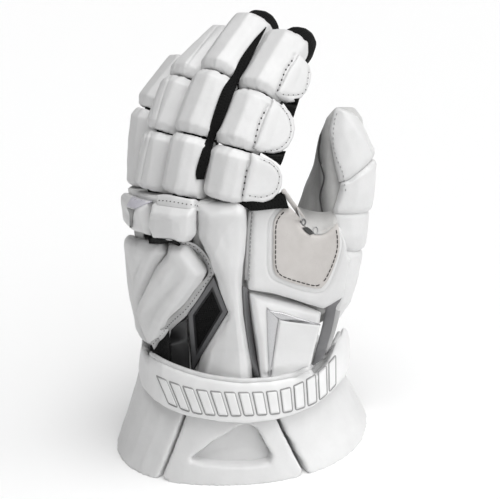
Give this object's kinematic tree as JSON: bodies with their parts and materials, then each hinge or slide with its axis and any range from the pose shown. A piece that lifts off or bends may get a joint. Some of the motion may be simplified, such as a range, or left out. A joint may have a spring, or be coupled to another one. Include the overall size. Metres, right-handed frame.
{
  "type": "lacrosse glove",
  "caption": "Left-hand lacrosse glove with segmented foam pads on the fingers, thumb and back of the hand, a wrist strap and a flared cuff, standing on its cuff.",
  "frame": {"origin": "centre of the glove's box, on the floor it stands on", "axes": "+Z from the cuff to the fingertips, -Y out of the back of the hand, +X to the thumb side"},
  "size_m": [0.2074, 0.149, 0.3151],
  "materials": {
    "white_leather": "satin",
    "suede": "matte",
    "mesh_knit": "matte",
    "grey_trim": "satin",
    "silver_trim": "gloss"
  },
  "bodies": {
    "root": {"center_spine": "white_leather", "chevron_trim": "silver_trim", "cuff_center": "white_leather", "cuff_inner_side": "white_leather", "cuff_outer_side": "white_leather", "cuff_window_panel": "white_leather", "diamond_vent": "grey_trim", "gauntlet_inlay": "white_leather", "gauntlet_panel": "white_leather", "hand_shell": "suede", "index_base_flap": "white_leather", "index_base_pad": "white_leather", "index_middle_flap": "white_leather", "index_middle_pad": "white_leather", "index_sleeve": "mesh_knit", "index_tip_flap": "white_leather", "index_tip_pad": "white_leather", "knuckle_edge_pad": "white_leather", "knuckle_pad": "white_leather", "middle_base_pad": "white_leather", "middle_middle_pad": "white_leather", "middle_sleeve": "mesh_knit", "middle_tip_pad": "white_leather", "outer_pad": "white_leather", "pinky_base_pad": "white_leather", "pinky_sleeve": "mesh_knit", "pinky_tip_pad": "white_leather", "ring_base_pad": "white_leather", "ring_middle_pad": "white_leather", "ring_sleeve": "mesh_knit", "ring_tip_pad": "white_leather", "side_channel": "grey_trim", "slanted_pad": "white_leather", "thumb_band_pad": "white_leather", "thumb_middle_pad": "white_leather", "thumb_root_pad": "white_leather", "thumb_sleeve": "suede", "thumb_tip_pad": "white_leather", "vent_core": "mesh_knit", "vent_rib": "grey_trim", "web_pad": "white_leather", "web_patch": "suede", "wrist_strap": "white_leather"}
  },
  "joints": []
}
